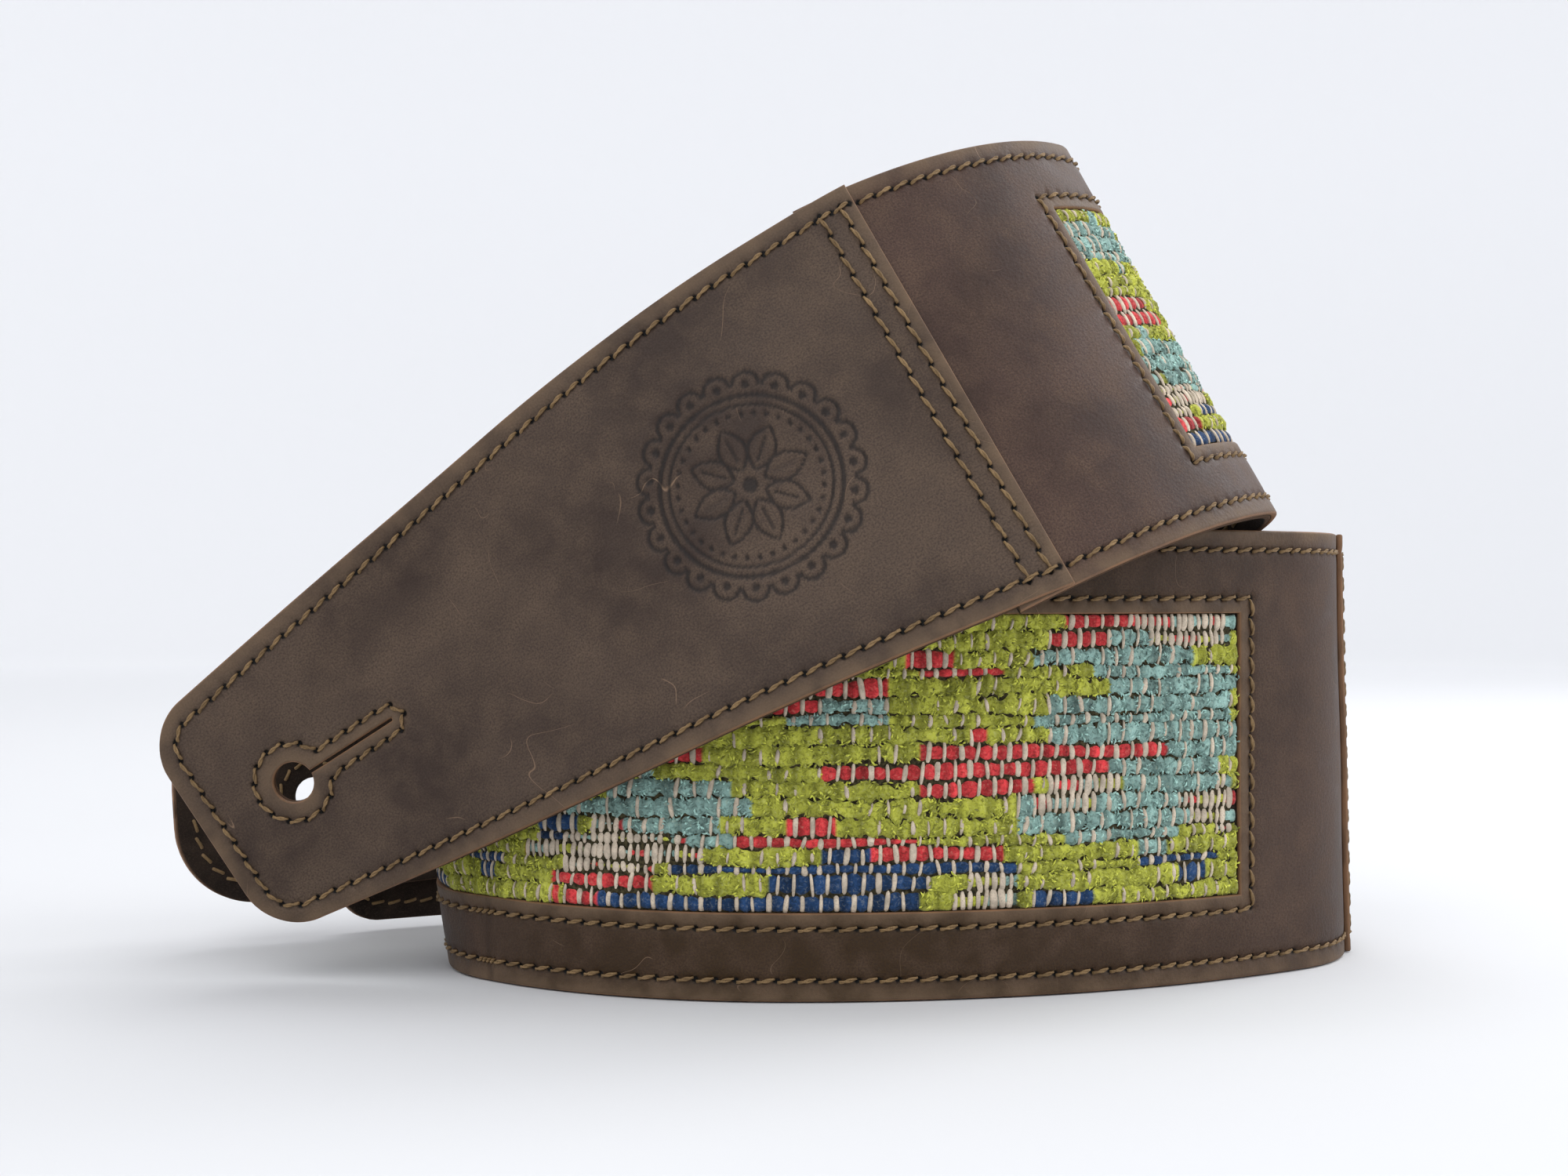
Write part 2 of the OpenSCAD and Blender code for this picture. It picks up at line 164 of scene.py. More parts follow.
def rear_flat(u):
    return HALF_W - (HALF_W - REAR_TIP) * np.clip((u - REAR_SEAM) / REAR_LEN, 0, 1)


def tail_flat(u):
    return TAIL_HALF + 0 * u


def rounded(half, left, r):
    """Half width near an end: left is the distance to the end, r the corner radius."""
    return half - np.where(left < r, r - np.sqrt(np.maximum(0, r * r - (r - left) ** 2)), 0)


def tail_rise(u):
    """The tail's height: under the rear panel, level with it between the slots, and under it again.

    Between the slots it should be 2 * LEATHER higher, on top of the panel, as in the CAD model.
    """
    def ramp(x):
        t = np.clip((x + 1) / 2, 0, 1)
        return t * t * (3 - 2 * t)
    half = SLOT_LEN / 2
    return 2 * LEATHER * (ramp((u - SLOTS[0]) / half) - ramp((u - SLOTS[1]) / half) - 1)


def end_distance(flat, end, corner):
    """A function for the distance in from the outline of a piece with one rounded end."""
    sign = 1 if end > 0 else -1

    def distance(u, w):
        left = (end - u) * sign
        side = flat(u) - np.abs(w)
        in_corner = (left < corner) & (side < corner)
        round_d = corner - np.hypot(corner - left, corner - side)
        return np.where(in_corner, round_d, np.minimum(left, side))
    return distance


def body_distance(u, w):
    """In from the outline of the facing leather, whose window counts as outside."""
    across = np.maximum(np.maximum(WIN_LEFT - u, u - WIN_RIGHT), np.abs(w) - WIN_HALF)
    return np.minimum(HALF_W - np.abs(w), across)


def keyhole_distance(hole, way):
    """Distance out from a strap button hole and its slit."""
    def distance(u, w):
        x = (u - hole) * way
        ring = np.hypot(x, w) - HOLE_R
        slit = np.hypot(x - np.clip(x, 0, SLIT_FAR), w) - SLIT_HALF
        return np.minimum(ring, slit)
    return distance


# ---- stitch rows


def spaced(path, pitch, closed=False):
    """Needle holes a pitch apart along a path of flat points."""
    path = np.array(path, float)
    if closed:
        path = np.vstack((path, path[:1]))
    length = np.concatenate(([0], np.cumsum(np.linalg.norm(np.diff(path, axis=0), axis=1))))
    count = max(1, round(length[-1] / pitch))
    at = np.linspace(0, length[-1], count + 1)
    return np.stack((np.interp(at, length, path[:, 0]), np.interp(at, length, path[:, 1])), -1)


def edge_path(side):
    return [(-FRONT_SEAM + 1, side * (HALF_W - ROW_IN)), (REAR_SEAM - 1, side * (HALF_W - ROW_IN))]


def window_path():
    a, b, h = WIN_LEFT - WINDOW_ROW, WIN_RIGHT + WINDOW_ROW, WIN_HALF + WINDOW_ROW
    return [(a, -h), (b, -h), (b, h), (a, h)]


def end_path(flat, start, end, corner):
    """Row inside the outline of an end piece, from its start round the end and back."""
    sign = 1 if end > 0 else -1
    turn = end - sign * corner
    r = corner - ROW_IN
    us = np.linspace(start, turn, 40)
    side = [(u, flat(u) - ROW_IN) for u in us]
    across = flat(turn) - ROW_IN - r
    angles = np.linspace(0, math.pi / 2, 8)
    side += [(turn + sign * r * math.sin(a), across + r * math.cos(a)) for a in angles[1:]]
    return [(u, -w) for u, w in side] + [(u, w) for u, w in reversed(side)]


def keyhole_path(hole, way):
    first = math.asin(SLIT_ROW / RING_R)
    ring = [(RING_R * math.cos(a), RING_R * math.sin(a)) for a in np.linspace(first, 2 * math.pi - first, 40)]
    tip = [(SLIT_FAR + SLIT_ROW * math.cos(a), SLIT_ROW * math.sin(a)) for a in np.linspace(-1.57, 1.57, 12)]
    return [(hole + way * x, y) for x, y in ring + tip]


def seam_path(u):
    return [(u, -(HALF_W - ROW_IN)), (u, HALF_W - ROW_IN)]


SEAMS = {
    "front_seam_outer": -(FRONT_SEAM + SEAM_ROW),
    "front_seam_inner": -(FRONT_SEAM + SEAM_ROW + SEAM_PITCH),
    "rear_seam_outer": REAR_SEAM + SEAM_ROW,
    "rear_seam_inner": REAR_SEAM + SEAM_ROW + SEAM_PITCH,
}
ROWS = {
    "body_upper_edge": spaced(edge_path(1), PITCH),
    "body_lower_edge": spaced(edge_path(-1), PITCH),
    "window": spaced(window_path(), PITCH, True),
    "front_edge": spaced(end_path(front_flat, -FRONT_SEAM - 1, FRONT_END, FRONT_CORNER), PITCH),
    "front_keyhole": spaced(keyhole_path(FRONT_HOLE, 1), KEYHOLE_PITCH, True),
    "rear_edge": spaced(end_path(rear_flat, REAR_SEAM + 1, REAR_END, REAR_CORNER), PITCH),
    "tail_edge": spaced(end_path(tail_flat, TAIL_START + ROW_IN, TAIL_END, TAIL_CORNER), PITCH),
    "tail_keyhole": spaced(keyhole_path(TAIL_HOLE, -1), KEYHOLE_PITCH, True),
}
ROWS.update({name: spaced(seam_path(u), SEAM_STITCH) for name, u in SEAMS.items()})

# ---- the stamped rosette

STAMP_AT = np.array((-FRONT_SEAM - 43.0, 0.0))
STAMP_DEPTH = 0.4

# Sizes of the rosette: how many there are of each part, and radii
SCALLOPS = 22
SCALLOP_SPACING = 19.6
SCALLOP_RING = 19.2
SCALLOP_R = 2.5
SEED_RING = 19.3
OUTER_RING = 17.2
INNER_RING = 15.4
BEADS = 36
BEAD_RING = 13.7
PETALS = 8
PETAL_START = 3.0
PETAL_LEN = 8.8
PETAL_HALF = 2.7

# Relief of the leather
EDGE_R = 0.4
PIT_DEPTH = 0.9
PIT_R = 0.95
GROOVE_DEPTH = 0.16
GROOVE_R = 0.9
RIPPLE = 0.06
# Where along the strap the band is darkest and most olive: partly the hide's own tone, partly painted shade
# on the front of the band, which gets less light
OLIVE_SHADE_AT = 5.0
OLIVE_SHADE_REACH = 105.0
# Moves the back of a sheet to another place in the leather's pattern
UNDER_SHIFT = 7
# Distances in from a rounded edge that get a grid line
EDGE_LINES = np.array((0, 0.15, 0.4, 0.9))


def stamp(u, w):
    """From 0 to 1, how deep the tooling goes: a scalloped border, two rings and eight petals."""
    x, y = u - STAMP_AT[0], w - STAMP_AT[1]
    r, a = np.hypot(x, y), np.arctan2(y, x)

    def band(value, half, soft=0.22):
        return np.clip((half - np.abs(value)) / soft + 0.5, 0, 1)

    def around(count, radius):
        return ((a / (2 * math.pi) * count + 0.5) % 1 - 0.5) * 2 * math.pi * radius / count

    across = around(SCALLOPS, SCALLOP_SPACING)
    arcs = band(np.hypot(across, r - SCALLOP_RING) - SCALLOP_R, 0.36) * band(r - 21.2, 2.0)
    seeds = band(np.hypot(across, r - SEED_RING), 0.8)
    rings = np.maximum(band(r - OUTER_RING, 0.45), band(r - INNER_RING, 0.28))
    beads = band(np.hypot(around(BEADS, BEAD_RING), r - BEAD_RING), 0.5)
    width = PETAL_HALF * np.sin(np.clip((r - PETAL_START) / PETAL_LEN, 0, 1) * math.pi)
    petals = band(np.abs(around(PETALS, r)) - width, 0.36) * band(r - 7.4, 4.4)
    veins = band(around(PETALS, r), 0.22) * band(r - 7.2, 2.4)
    heart = band(r, 1.5)
    return np.maximum.reduce((arcs, seeds, rings, beads, petals, veins, heart))


# ---- mesh making


def new_object(name, points, quads):
    """A smooth shaded object made of four-sided faces."""
    mesh = bpy.data.meshes.new(name)
    mesh.vertices.add(len(points))
    mesh.vertices.foreach_set("co", points.astype(np.float32).ravel())
    mesh.loops.add(quads.size)
    mesh.loops.foreach_set("vertex_index", quads.astype(np.int32).ravel())
    mesh.polygons.add(len(quads))
    mesh.polygons.foreach_set("loop_start", np.arange(0, quads.size, 4, dtype=np.int32))
    mesh.polygons.foreach_set("use_smooth", np.full(len(quads), True))
    mesh.update(calc_edges=True)
    mesh.validate()
    obj = bpy.data.objects.new(name, mesh)
    bpy.context.scene.collection.objects.link(obj)
    return obj


def paint(obj, name, values, kind="FLOAT"):
    """A value per point, for the materials."""
    field = {"FLOAT": "value", "FLOAT_VECTOR": "vector", "FLOAT_COLOR": "color"}[kind]
    attribute = obj.data.attributes.new(name, kind, "POINT")
    attribute.data.foreach_set(field, np.asarray(values, np.float32).ravel())


def joined(*parts):
    """Grid lines from several lists, in order and each one once."""
    return np.unique(np.round(np.concatenate(parts), 4))


def lines(start, stop, step):
    """Grid lines from start to stop, closer together at both ends, where the edge is rounded."""
    inner = np.arange(EDGE_LINES[-1], stop - start - EDGE_LINES[-1], step)
    return joined(start + EDGE_LINES, start + inner + step * 0.5, stop - EDGE_LINES)


def ripple(u, w):
    """The slight unevenness of a real hide."""
    return RIPPLE * (np.sin(u / 9.1 + 1.3 * np.sin(w / 13)) + np.sin(w / 7.7 + 1.7 * np.sin(u / 17)))


def make_sheet(node, grid, low, high, distance, keep=None, rows=(), rise=None, cut=None, tooled=None):
    """A closed sheet of leather over a grid of flat points, which stands for a CAD node.

    distance is in from the outline, rows the stitching in the upper face, rise a height
    along the strap, cut the distance out from a keyhole, and tooled the stamping, 0 to 1.
    """
    u, w = grid
    keep = np.ones((len(u) - 1, len(u[0]) - 1), bool) if keep is None else keep
    if cut is not None:
        u, w, keep = fit_to_cut(u, w, keep, cut)
    flat = np.stack((u.ravel(), w.ravel()), -1)
    flat, pit, groove = sink_holes(flat, rows)
    fu, fw = flat.T
    edge = distance(fu, fw)
    if cut is not None:
        edge = np.minimum(edge, cut(fu, fw))
    inward = np.clip(EDGE_R - edge, 0, EDGE_R)
    drop = EDGE_R - np.sqrt(EDGE_R ** 2 - inward ** 2)
    lift = ripple(fu, fw) + (0 if rise is None else rise(fu))
    tool = np.zeros(len(flat)) if tooled is None else tooled(fu, fw)
    top = lay(fu, fw, high - drop - PIT_DEPTH * pit - GROOVE_DEPTH * groove - STAMP_DEPTH * tool + lift)
    bottom = lay(fu, fw, low + drop + lift)
    quads, used = closed_quads(keep, u.shape)
    obj = new_object(f"{node}_sheet", np.concatenate((top, bottom))[used], quads)
    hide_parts(node)
    under = np.repeat((0.0, 1.0), len(flat))
    paint(obj, "flat", np.column_stack((np.tile(flat, (2, 1)), under * UNDER_SHIFT))[used], "FLOAT_VECTOR")
    paint(obj, "edge", np.tile(edge, 2)[used])
    # The depth at the needle holes, which also sets their painted shade
    paint(obj, "pit", (np.tile(pit, 2) * (1 - under))[used])
    paint(obj, "tool", (np.tile(tool, 2) * (1 - under))[used])
    # Weight of the darker olive tone along the front of the band: partly the hide's own tone, partly painted
    # shade
    paint(obj, "olive_and_shade", np.exp(-((np.tile(fu, 2) - OLIVE_SHADE_AT) / OLIVE_SHADE_REACH) ** 2)[used])
    return obj


def sink_holes(flat, rows):
    """Moves the nearest grid point onto each needle hole.

    Gives the points, and from 0 to 1 how deep each one sinks at the holes and in the groove
    that the thread pulls along them.
    """
    pit = np.zeros(len(flat))
    if not rows:
        return flat, pit, pit
    holes = np.concatenate([ROWS[name] for name in rows])
    share = np.linspace(0, 1, 9)[:, None, None]
    thread = np.concatenate([
        ((1 - share) * ROWS[name][:-1] + share * ROWS[name][1:]).reshape(-1, 2) for name in rows])
    near_thread = point_tree(thread)
    groove = np.array([math.exp(-(near_thread.find((u, w, 0))[2] / GROOVE_R) ** 2) for u, w in flat])
    tree = point_tree(flat)
    flat = flat.copy()
    for u, w in holes:
        for _, i, d in tree.find_range((u, w, 0), PIT_R):
            pit[i] = max(pit[i], 1 - d / PIT_R)
        i = tree.find((u, w, 0))[1]
        flat[i] = (u, w)
        pit[i] = 1
    return flat, pit, groove


def point_tree(points):
    tree = KDTree(len(points))
    for i, (u, w) in enumerate(points):
        tree.insert((u, w, 0), i)
    tree.balance()
    return tree


def fit_to_cut(u, w, keep, cut):
    """Opens the cells inside a cut, and moves the grid points left inside it onto its edge."""
    inside = cut(u, w) < 0
    whole = inside[:-1, :-1] & inside[1:, :-1] & inside[:-1, 1:] & inside[1:, 1:]
    step = 0.02
    for _ in range(5):
        d = cut(u, w)
        du = (cut(u + step, w) - cut(u - step, w)) / (2 * step)
        dw = (cut(u, w + step) - cut(u, w - step)) / (2 * step)
        size = np.maximum(du * du + dw * dw, 0.25)
        u = np.where(inside, u - d * du / size, u)
        w = np.where(inside, w - d * dw / size, w)
    return u, w, keep & ~whole


def closed_quads(keep, shape):
    """Faces of both sides and the walls round every edge, and the points that they use."""
    cols, count = shape[1], shape[0] * shape[1]
    i, j = np.nonzero(keep)
    a = i * cols + j
    up = np.stack((a, a + cols, a + cols + 1, a + 1), -1)
    faces = [up, up[:, ::-1] + count]
    padded = np.pad(keep, 1)
    for di, dj, p, q in ((-1, 0, 0, 1), (1, 0, cols + 1, cols), (0, -1, cols, 0), (0, 1, 1, cols + 1)):
        b = a[~padded[i + 1 + di, j + 1 + dj]]
        faces.append(np.stack((b + p, b + q, b + q + count, b + p + count), -1))
    used, quads = np.unique(np.concatenate(faces), return_inverse=True)
    return quads.reshape(-1, 4), used


def end_caps(first, last, sides):
    """Strips of four-sided faces over both ends of tubes, from each end ring's first point."""
    strips = [(0, 1, sides - 2, sides - 1)]
    strips += [(m - 1, m, sides - 1 - m, sides - m) for m in range(2, sides // 2)]
    faces = []
    for strip in strips:
        faces.append(first[:, None] + np.array(strip))
        faces.append(last[:, None] + np.array(strip[::-1]))
    return faces


def tubes(centres, across, up, sides):
    """Closed tubes. centres is (tube, ring, 3) in flat space; across and up are half sizes.

    The cross-section lies in the plane of each tube's sideways vector and n.
    """
    count, rings = centres.shape[:2]
    forward = centres[:, -1, :2] - centres[:, 0, :2]
    forward /= np.maximum(np.linalg.norm(forward, axis=1, keepdims=True), 1e-9)
    angles = np.linspace(0, 2 * math.pi, sides, endpoint=False)
    out = np.broadcast_to(across, (count, rings))[..., None] * np.cos(angles)
    u = centres[..., 0, None] - forward[:, 1, None, None] * out
    w = centres[..., 1, None] + forward[:, 0, None, None] * out
    n = centres[..., 2, None] + np.broadcast_to(up, (count, rings))[..., None] * np.sin(angles)
    base = np.arange(count * rings).reshape(count, rings) * sides
    k = np.arange(sides)
    ring, after = base[:, :-1, None] + k, base[:, :-1, None] + (k + 1) % sides
    walls = np.stack((ring, ring + sides, after + sides, after), -1).reshape(-1, 4)
    caps = end_caps(base[:, 0], base[:, -1], sides)
    return np.stack((u, w, n), -1).reshape(-1, 3), np.concatenate([walls] + caps)


def lay_object(name, flat, quads):
    """An object from points in flat space, laid along the roll."""
    obj = new_object(name, lay(flat[:, 0], flat[:, 1], flat[:, 2]), quads)
    paint(obj, "flat", flat, "FLOAT_VECTOR")
    return obj


def stitches(name, holes, base, upper, rise=None):
    """A row of stitches between needle holes: two twisted plies above, or one flat thread below."""
    a, b = holes[:-1], holes[1:]
    t = np.linspace(0, 1, 13 if upper else 8)
    way = 1 if upper else -1
    step = b - a
    forward = step / np.linalg.norm(step, axis=1, keepdims=True)
    side = np.stack((-forward[:, 1], forward[:, 0]), -1) * way
    from_middle = 2 * t - 1
    along = step[:, None] * t[None, :, None] - forward[:, None] * (SHORT * from_middle)[None, :, None]
    place = a[:, None] + along + side[:, None] * (SLANT * from_middle)[None, :, None]
    height = base + way * (STITCH_RISE * (1 - np.abs(from_middle) ** 4) - STITCH_SUNK)
    parts, faces, count = [], [], 0
    for ply in (0, math.pi) if upper else (None,):
        centre = place.copy()
        n = np.broadcast_to(height, place.shape[:2]).copy()
        if ply is not None:
            turn = 2 * math.pi * PLY_TURNS * t + ply
            open_up = 0.45 + 0.55 * np.sin(math.pi * t)
            centre += side[:, None] * (PLY_APART * np.cos(turn) * open_up)[None, :, None]
            n += PLY_LIFT * np.sin(turn)
        if rise is not None:
            n += rise(centre[..., 0])
        size = PLY_SIZE if upper else BOBBIN_SIZE
        flat, quads = tubes(np.concatenate((centre, n[..., None]), -1), *size, sides=6)
        parts.append(flat)
        faces.append(quads + count)
        count += len(flat)
    return lay_object(name, np.concatenate(parts), np.concatenate(faces))


# ---- leather pieces

# Columns near an edge, in from it, for the ends and for the slotted panel: the edge row is at 3.9
END_COLUMNS = np.array((0, 0.15, 0.4, 0.9, 1.7, 2.6, 3.35, 3.9, 4.45, 5.2))
SLOTTED_COLUMNS = np.array((0, 0.15, 0.4, 0.9, 1.6, 2.4, 3.35, 3.9, 4.45, 4.8))
COLUMN_GAP = 0.7
# Half width of the close grid lines round the rosette, and along a stitch row
STAMP_REACH = 25.0
ROW_REACH = 0.55


def plain_grid(us, ws):
    """Flat points u and w of a rectangular grid."""
    return np.meshgrid(us, ws, indexing="ij")


def end_grid(us, flat, end, corner, inner):
    """Rows across a piece with a rounded end, with close columns at both edges."""
    half = rounded(flat(us), (end - us) * (1 if end > 0 else -1), corner)[:, None]
    shares = np.linspace(-1, 1, inner)
    middle_columns = shares * (half - END_COLUMNS[-1] - COLUMN_GAP)
    ws = np.concatenate((END_COLUMNS - half, middle_columns, half - END_COLUMNS[::-1]), axis=1)
    return np.broadcast_to(us[:, None], ws.shape), ws


def beside(lines_at):
    """Extra grid lines along stitch rows, so that each needle hole is small and sharp."""
    return (np.array(lines_at)[:, None] + np.array((-ROW_REACH, 0, ROW_REACH))).ravel()


edge_row = HALF_W - ROW_IN
window_row = WIN_HALF + WINDOW_ROW
body_start = -FRONT_SEAM - LAP
body_stop = REAR_SEAM + LAP
window_cols = joined(
    lines(-HALF_W, -WIN_HALF, 1.1), lines(-WIN_HALF, WIN_HALF, 1.3), lines(WIN_HALF, HALF_W, 1.1),
    beside((-edge_row, -window_row, window_row, edge_row)))
body_rows = joined(
    lines(body_start, WIN_LEFT, 0.9), lines(WIN_LEFT, WIN_RIGHT, 0.78), lines(WIN_RIGHT, body_stop, 0.9),
    beside((WIN_LEFT - WINDOW_ROW, WIN_RIGHT + WINDOW_ROW)))


def middle(values):
    """Halfway between each value and the next."""
    return (values[:-1] + values[1:]) / 2


cell_u, cell_w = plain_grid(middle(body_rows), middle(window_cols))
body_keep = ~((cell_u > WIN_LEFT) & (cell_u < WIN_RIGHT) & (np.abs(cell_w) < WIN_HALF))
body_leather = make_sheet(
    "body_leather", plain_grid(body_rows, window_cols), -LEATHER, 0, body_distance, body_keep,
    ("body_upper_edge", "body_lower_edge", "window"))
body_backing = make_sheet(
    "body_backing", plain_grid(lines(body_start, body_stop, 2), lines(-HALF_W, HALF_W, 2)),
    -2 * LEATHER, -LEATHER, lambda u, w: HALF_W - np.abs(w))

front_distance = end_distance(front_flat, FRONT_END, FRONT_CORNER)
seam_left = -FRONT_SEAM
stamp_left = STAMP_AT[0] - STAMP_REACH
stamp_right = STAMP_AT[0] + STAMP_REACH
# The end of the close rows round the front keyhole
keyhole_rows_end = -500
front_rows = joined(
    lines(FRONT_END, keyhole_rows_end, 0.5), np.arange(keyhole_rows_end + 0.5, stamp_left, 0.9),
    np.arange(stamp_left, stamp_right, 0.36), np.arange(stamp_right + 0.5, seam_left - 1.2, 0.9),
    seam_left - EDGE_LINES, beside((seam_left - SEAM_ROW, seam_left - SEAM_ROW - SEAM_PITCH)))
front_panel = make_sheet(
    "front_end_panel", end_grid(front_rows, front_flat, FRONT_END, FRONT_CORNER, 128), 0, LEATHER,
    lambda u, w: np.minimum(front_distance(u, w), seam_left - u), None,
    ("front_edge", "front_keyhole", "front_seam_outer", "front_seam_inner"),
    cut=keyhole_distance(FRONT_HOLE, 1), tooled=stamp)
front_lining_rows = joined(
    lines(FRONT_END, keyhole_rows_end, 0.6), np.arange(keyhole_rows_end + 0.6, seam_left - LAP - 1, 1.4),
    [seam_left - LAP])
front_lining = make_sheet(
    "front_end_lining", end_grid(front_lining_rows, front_flat, FRONT_END, FRONT_CORNER, 100), -LEATHER, 0,
    front_distance, cut=keyhole_distance(FRONT_HOLE, 1))


def rear_distance(u, w):
    """In from the outline of the rear panel, whose slots count as outside."""
    d = end_distance(rear_flat, REAR_END, REAR_CORNER)(u, w)
    for slot in SLOTS:
        d = np.minimum(d, np.maximum(np.abs(u - slot) - SLOT_LEN / 2, np.abs(w) - SLOT_HALF))
    return d


def rear_grid(start, step, inner):
    """Rows and columns that run along the slots' edges."""
    half_slot = SLOT_LEN / 2
    stops = [start, *[slot + way * half_slot for slot in SLOTS for way in (-1, 1)], REAR_END]
    us = joined(*[lines(a, b, step) for a, b in zip(stops[:-1], stops[1:])])
    half = rounded(rear_flat(us), REAR_END - us, REAR_CORNER)[:, None]
    beside_slot = -SLOT_HALF - 0.02 * (half - SLOTTED_COLUMNS[-1] - SLOT_HALF)
    outer = np.concatenate((SLOTTED_COLUMNS - half, beside_slot), axis=1)
    across_slot = lines(-SLOT_HALF, SLOT_HALF, inner)
    across_slot = np.broadcast_to(across_slot, (len(us), len(across_slot)))
    ws = np.concatenate((outer, across_slot, -outer[:, ::-1]), axis=1)
    return np.broadcast_to(us[:, None], ws.shape), ws


def rear_keep(grid):
    """Which cells of the rear grid are leather and not slot."""
    u, w = ((g[:-1, :-1] + g[1:, 1:]) / 2 for g in grid)
    keep = np.ones(u.shape, bool)
    for slot in SLOTS:
        keep &= ~((np.abs(u - slot) < SLOT_LEN / 2) & (np.abs(w) < SLOT_HALF))
    return keep


rear_cells = rear_grid(REAR_SEAM, 0.75, 1.0)
rear_panel = make_sheet(
    "rear_end_panel", rear_cells, 0, LEATHER, lambda u, w: np.minimum(rear_distance(u, w), u - REAR_SEAM),
    rear_keep(rear_cells), ("rear_edge", "rear_seam_outer", "rear_seam_inner"))
rear_cells = rear_grid(REAR_SEAM + LAP, 1.6, 2.0)
rear_lining = make_sheet("rear_end_lining", rear_cells, -LEATHER, 0, rear_distance, rear_keep(rear_cells))

tail_distance = end_distance(tail_flat, TAIL_END, TAIL_CORNER)


def tail_outline(u, w):
    """In from the outline of the tail, square at its inner end."""
    return np.minimum(tail_distance(u, w), u - TAIL_START)


tail_cells = end_grid(lines(TAIL_START, TAIL_END, 0.6), tail_flat, TAIL_END, TAIL_CORNER, 90)
tail_strap = make_sheet(
    "tail_strap", tail_cells, 0, LEATHER, tail_outline, None, ("tail_edge", "tail_keyhole"), tail_rise,
    keyhole_distance(TAIL_HOLE, -1))
tail_cells = end_grid(lines(TAIL_START, TAIL_END, 1), tail_flat, TAIL_END, TAIL_CORNER, 90)
tail_lining = make_sheet(
    "tail_lining", tail_cells, -LEATHER, 0, tail_outline, rise=tail_rise, cut=keyhole_distance(TAIL_HOLE, -1))

SUEDE = (body_backing, front_lining, rear_lining, tail_lining)

# ---- thread pieces

threads = []
for name, holes in ROWS.items():
    on_body = name.startswith(("body", "window"))
    top = 0 if on_body else LEATHER
    under = -2 * LEATHER if on_body or "seam" in name else -LEATHER
    rise = tail_rise if name.startswith("tail") else None
    for kind, base, upper in (("thread", top, True), ("bobbin", under, False)):
        row = stitches(f"{name}_{kind}_row", holes, base, upper, rise)
        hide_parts(f"{name}_{kind}")
        threads.append(row)

# ---- woven panel

LIME, AQUA, CORAL, NAVY, BARE = range(5)
DYES = np.array((
    (0.385, 0.40, 0.055), (0.245, 0.39, 0.35), (0.58, 0.045, 0.05), (0.018, 0.05, 0.13), (0.30, 0.26, 0.17)))
CREAM = (0.70, 0.59, 0.46)
# How each yarn lies: its share of the row's height, the height of its pile, its unevenness, and how
# deep a warp tick pinches it
BULK = np.array((1.14, 1.06, 0.97, 1.0, 0.80))
PILE_H = np.array((1.22, 1.12, 0.98, 1.0, 0.7))
ROUGH = np.array((0.30, 0.24, 0.10, 0.13, 0.10))
PINCH = np.array((0.26, 0.34, 0.45, 0.45, 0.35))
# Width and length of a warp tick over each yarn, and the share of ticks that show
TICK_W = np.array((0.38, 0.48, 0.60, 0.54, 0.66))
TICK_L = np.array((0.46, 0.62, 0.68, 0.64, 0.72))
TICK_SHOWN = np.array((0.55, 0.66, 1.0, 1.0, 1.0))
# Relative heights of the rows, from the lower edge up: thick weft with a thin one here and there
WEFT = (3.4, 3.5, 1.9, 3.2, 1.9, 3.5, 3.5, 3.3, 3.2, 3.3, 3.4, 2.1, 3.4, 3.4, 2.0, 3.4, 3.3, 3.2)
REPEAT = 150.0
# Distance between warps, length of one step along a yarn, and how near a warp the yarn is pinched
WARP = 1.6
STATION = 0.55
PINCH_REACH = 0.62
# Steps along a yarn under bare warp before its colour changes
FLECK = 6
# Height of the cloth's ground, where the yarns lie
GROUND = -1.38
# Fibres of pile on a square millimetre of soft yarn
PILE_PER_MM2 = 1.15
# Half height of a fibre
FIBRE_HALF = 0.13
# Lozenges of dye in each repeat: yarn, centre along from the window's right end, centre across, half sizes
LOZENGES = (
    (BARE, -8, 27, 22, 5), (BARE, -4, -10, 11, 4), (BARE, -36, -6.5, 14, 2.6), (BARE, -84, 24, 13, 2.4),
    (BARE, -128, -17, 20, 4.5), (BARE, -56, -24.5, 15, 2), (NAVY, -98, -27, 38, 3.4),
    (NAVY, -82, -20.5, 38, 2.6), (NAVY, -12, -20.5, 10, 2.4), (NAVY, -38, -27, 9, 2),
    (NAVY, -140, -14, 10, 3), (CORAL, -60, -1.5, 24, 5), (CORAL, -38, 0.5, 26, 2.4),
    (CORAL, -34, 25.5, 13, 3), (CORAL, -94, 13, 17, 3.4), (CORAL, -64, 17.5, 10, 2.6),
    (CORAL, -88, -14, 26, 1.9), (CORAL, -66, -17.6, 16, 1.7), (CORAL, -133, -24, 16, 2.6),
    (CORAL, -125, 3, 18, 3), (AQUA, -20, 5, 26, 19), (AQUA, -34, -11, 20, 5), (AQUA, -118, -8, 22, 5),
    (AQUA, -82, 9, 15, 2.4), (AQUA, -112, -14, 26, 2.4), (AQUA, -24, 19, 20, 5), (AQUA, -120, 20, 24, 5),
)
# Angles round a yarn: most of its points are on the side that shows
AROUND = np.radians((-35, 5, 32, 58, 82, 106, 132, 160, 185, 220))


def dye_at(u, w, jitter):
    """Which yarn shows at a flat point of the weave."""
    x = (u - WIN_RIGHT) % -REPEAT + jitter
    for kind, along, across, half_u, half_w in LOZENGES:
        if abs(x - along) / half_u + abs(w - across) / half_w * 0.75 < 1:
            return kind
    return LIME


def smooth(values, passes=1):
    """Evens out a grid of random values, so that they make lumps and not spikes."""
    for _ in range(passes):
        for axis in range(values.ndim):
            values = (np.roll(values, 1, axis) + 2 * values + np.roll(values, -1, axis)) / 4
    return values


